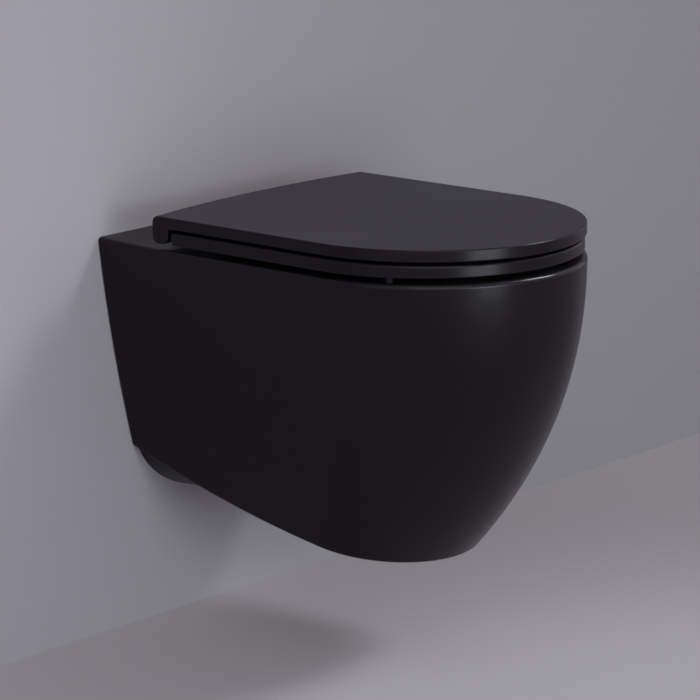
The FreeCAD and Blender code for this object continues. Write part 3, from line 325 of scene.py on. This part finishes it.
def make_glaze():
    """Satin black glaze with a painted sheen (a paler colour) and more polish on the edges; the
    hidden back is bare.
    """
    made, tree, shader = material("satin_black_glaze", metallic=0.0, specular=0.22)
    skin = use(tree, SKIN, Wave_Scale=26.0, Grain_Scale=1100.0, Grain_Share=0.10)
    edge = use(tree, EDGE, Reach=0.0015)
    bare = bare_mask(tree)
    # painted sheen: the edges take the paler glaze; the specks are dust
    glaze = blend_colours(tree, edge.outputs["Mask"], GLAZE, GLAZE_DUST_AND_SHEEN)
    glaze = blend_colours(tree, skin.outputs["Specks"], glaze, GLAZE_DUST_AND_SHEEN)
    clay = blend_colours(tree, skin.outputs["Drift"], BARE_CERAMIC, BARE_CERAMIC_DARK)
    link(tree, blend_colours(tree, bare, glaze, clay), shader.inputs["Base Color"])
    satin = roughness_between(tree, skin.outputs["Drift"], low=0.23, high=0.26)
    rough = math_node(tree, "MULTIPLY_ADD", bare, BARE_ROUGHNESS, satin)
    rough = math_node(tree, "MULTIPLY_ADD", edge.outputs["Mask"], -EDGE_POLISH, rough)
    link(tree, rough, shader.inputs["Roughness"])
    set_bump(tree, shader, skin.outputs["Height"], depth=0.0005, strength=0.12)
    return made


def make_duroplast():
    """Satin black seat plastic with a painted sheen (a paler colour) and a little more polish on the
    edges.
    """
    made, tree, shader = material("satin_black_duroplast", metallic=0.0, specular=0.20)
    skin = use(tree, SKIN, Wave_Scale=18.0, Grain_Scale=1500.0, Grain_Share=0.25)
    edge = use(tree, EDGE, Reach=0.0010)
    # painted sheen: the edges take the paler plastic; the specks are dust
    colour = blend_colours(tree, edge.outputs["Mask"], DUROPLAST, DUROPLAST_DUST_AND_SHEEN)
    colour = blend_colours(tree, skin.outputs["Specks"], colour, DUROPLAST_DUST_AND_SHEEN)
    link(tree, colour, shader.inputs["Base Color"])
    satin = roughness_between(tree, skin.outputs["Drift"], low=0.24, high=0.27)
    rough = math_node(tree, "MULTIPLY_ADD", edge.outputs["Mask"], -EDGE_POLISH, satin)
    link(tree, rough, shader.inputs["Roughness"])
    set_bump(tree, shader, skin.outputs["Height"], depth=0.0003, strength=0.10)
    return made


def make_metal(name, colour, dull, roughness, waves, grains, depth, turned=0.0):
    """Bare or plated metal; turned is the scale of the tool's marks, and 0 leaves them out."""
    made, tree, shader = material(name, metallic=1.0)
    skin = use(tree, SKIN, Wave_Scale=waves, Grain_Scale=grains, Grain_Share=0.5)
    edge = use(tree, EDGE, Reach=0.0006)
    shade = blend_colours(tree, skin.outputs["Drift"], colour, dull)
    # painted sheen: the edges take the clean, brighter colour rather than the dull one
    link(tree, blend_colours(tree, edge.outputs["Mask"], shade, colour), shader.inputs["Base Color"])
    rough = roughness_between(tree, skin.outputs["Drift"], *roughness)
    link(tree, rough, shader.inputs["Roughness"])
    height = skin.outputs["Height"]
    if turned:
        height = math_node(tree, "ADD", height, use(tree, TURNING, Scale=turned).outputs["Height"])
    set_bump(tree, shader, height, depth, 0.5)
    return made


def make_soft(name, colour, pale, roughness, waves, grains, depth):
    """Rubber or damper plastic, with a painted sheen: paler on its edges."""
    made, tree, shader = material(name, metallic=0.0, specular=0.10)
    skin = use(tree, SKIN, Wave_Scale=waves, Grain_Scale=grains, Grain_Share=0.6)
    edge = use(tree, EDGE, Reach=0.0008)
    shade = blend_colours(tree, skin.outputs["Drift"], colour, pale)
    # painted sheen: the edges take the pale colour
    link(tree, blend_colours(tree, edge.outputs["Mask"], shade, pale), shader.inputs["Base Color"])
    rough = roughness_between(tree, skin.outputs["Drift"], *roughness)
    link(tree, rough, shader.inputs["Roughness"])
    set_bump(tree, shader, skin.outputs["Height"], depth, 0.5)
    return made


FINISHES = {
    "black_ceramic": make_glaze(),
    "black_duroplast": make_duroplast(),
    "bracket_casting": make_metal("grey_casting", CASTING, CASTING_DARK, roughness=(0.55, 0.75),
                                  waves=300.0, grains=1400.0, depth=0.0008),
    "zinc_plated_steel": make_metal("zinc_plate", ZINC, ZINC_TINT, roughness=(0.28, 0.42),
                                    waves=200.0, grains=1500.0, depth=0.0001),
    "stainless_steel": make_metal("turned_steel", STEEL, STEEL_DARK, roughness=(0.22, 0.38),
                                  waves=250.0, grains=2000.0, depth=0.0001, turned=900.0),
    "chromed_zinc": make_metal("chrome_plate", CHROME, STEEL, roughness=(0.07, 0.20),
                               waves=60.0, grains=900.0, depth=0.0001),
    "brass_nut": make_metal("turned_brass", BRASS, BRASS_DARK, roughness=(0.25, 0.45),
                            waves=250.0, grains=2000.0, depth=0.0001, turned=700.0),
    "plug_rubber": make_soft("black_rubber", RUBBER, RUBBER_PALE, roughness=(0.60, 0.80),
                             waves=180.0, grains=1300.0, depth=0.0003),
    "bumper_rubber": make_soft("bumper_rubber", RUBBER, RUBBER_PALE, roughness=(0.50, 0.70),
                               waves=180.0, grains=1500.0, depth=0.0002),
    "damper_plastic": make_soft("damper_plastic", DAMPER, DAMPER_PALE, roughness=(0.35, 0.50),
                                waves=120.0, grains=1600.0, depth=0.0001),
}


def dress_nodes():
    slots = {part["node"]: part["material_slot"] for part in frame["record"]["subparts"]}
    for name, node in frame["nodes"].items():
        node.data.materials.clear()
        node.data.materials.append(FINISHES[slots[name]])


# ---------------------------------------------------------------- room, light and camera
def stage_plane(name, colour, mirrored, size, place, turn, open_to_light):
    """A flat backdrop that shows from its front only. One that is open to light
    doesn't shut the light out of the hollow back, which a view from behind shows."""
    bpy.ops.mesh.primitive_plane_add(size=1.0)
    plane = bpy.context.object
    plane.name = name
    plane.data.transform(Matrix.Diagonal((*size, 1.0, 1.0)))
    plane.data.transform(Matrix.Translation(place) @ Matrix.Rotation(turn, 4, "X"))
    made = bpy.data.materials.new(name)
    made.use_nodes = True
    tree = made.node_tree
    shader = tree.nodes["Principled BSDF"]
    seen = add(tree, "ShaderNodeLightPath")
    # painted reflection: glossy rays see the darker mirrored tone, not the backdrop's own colour
    shade = blend_colours(tree, seen.outputs["Is Glossy Ray"], colour, mirrored)
    link(tree, shade, shader.inputs["Base Color"])
    shader.inputs["Roughness"].default_value = STAGE_ROUGHNESS
    clear = add(tree, "ShaderNodeBsdfTransparent")
    side = add(tree, "ShaderNodeNewGeometry")
    mix = add(tree, "ShaderNodeMixShader")
    hidden = side.outputs["Backfacing"]
    if open_to_light:
        shown = math_node(tree, "MAXIMUM", seen.outputs["Is Camera Ray"],
                          seen.outputs["Is Glossy Ray"])
        hidden = math_node(tree, "MAXIMUM", hidden, math_node(tree, "SUBTRACT", 1.0, shown))
    link(tree, hidden, mix.inputs[0])
    link(tree, shader.outputs[0], mix.inputs[1])
    link(tree, clear.outputs[0], mix.inputs[2])
    link(tree, mix.outputs[0], tree.nodes["Material Output"].inputs["Surface"])
    plane.data.materials.append(made)


def soft_lamp(name, place, aim, size, power, colour=(1.0, 1.0, 1.0), spread=180.0):
    data = bpy.data.lights.new(name, "AREA")
    data.shape = "RECTANGLE"
    data.size, data.size_y = size
    data.energy = power
    data.color = colour
    data.spread = math.radians(spread)
    lamp = bpy.data.objects.new(name, data)
    bpy.context.scene.collection.objects.link(lamp)
    lamp.location = place
    lamp.rotation_mode = "QUATERNION"
    lamp.rotation_quaternion = (Vector(aim) - Vector(place)).to_track_quat("-Z", "Y")


def make_world(strength, colour):
    world = bpy.data.worlds.new("room_light")
    world.use_nodes = True
    back = world.node_tree.nodes["Background"]
    back.inputs["Color"].default_value = (*colour, 1.0)
    back.inputs["Strength"].default_value = strength
    bpy.context.scene.world = world


def make_camera():
    data = bpy.data.cameras.new("camera")
    data.sensor_width = SENSOR
    data.lens = FOCAL_PIXELS * SENSOR / FRAME_PIXELS
    data.clip_start, data.clip_end = 0.1, 50.0
    camera = bpy.data.objects.new("camera", data)
    bpy.context.scene.collection.objects.link(camera)
    level = math.cos(CAMERA_ELEVATION)
    back = Vector((math.sin(CAMERA_AZIMUTH) * level, -math.cos(CAMERA_AZIMUTH) * level,
                   math.sin(CAMERA_ELEVATION)))
    right = (-back).cross(Vector((0, 0, 1))).normalized()
    up = right.cross(-back)
    across = right * math.cos(CAMERA_ROLL) + up * math.sin(CAMERA_ROLL)
    upward = up * math.cos(CAMERA_ROLL) - right * math.sin(CAMERA_ROLL)
    turn = Matrix((across, upward, back)).transposed().to_4x4()
    camera.matrix_world = Matrix.Translation(CAMERA_TARGET + back * CAMERA_DISTANCE) @ turn
    bpy.context.scene.camera = camera


dress_nodes()
stage_plane("floor", FLOOR, FLOOR_MIRRORED, size=(STAGE_REACH, 2 * STAGE_REACH),
            place=(0, 0, FLOOR_LEVEL), turn=0.0, open_to_light=False)
stage_plane("wall", BACKDROP, BACKDROP_MIRRORED, size=(STAGE_REACH, STAGE_REACH),
            place=(0, WALL_GAP, FLOOR_LEVEL + STAGE_REACH / 2), turn=math.pi / 2, open_to_light=True)
soft_lamp("key", place=(-2.4, -2.5, 1.5), aim=(0.0, -0.2, -0.2), size=(2.4, 2.4), power=21.0)
soft_lamp("strip", place=(-0.74, -2.95, 0.10), aim=(-0.10, -0.52, 0.10), size=(1.15, 1.0),
          power=30.0, colour=(0.91, 0.94, 1.0))
soft_lamp("side", place=(1.35, -1.55, 1.70), aim=(0.0, -0.5, 0.1), size=(0.35, 1.4),
          power=2.0, colour=(0.98, 0.98, 1.0), spread=27.0)
make_world(strength=0.61, colour=(1.0, 0.985, 1.005))
make_camera()
bpy.context.scene.view_settings.view_transform = "Standard"
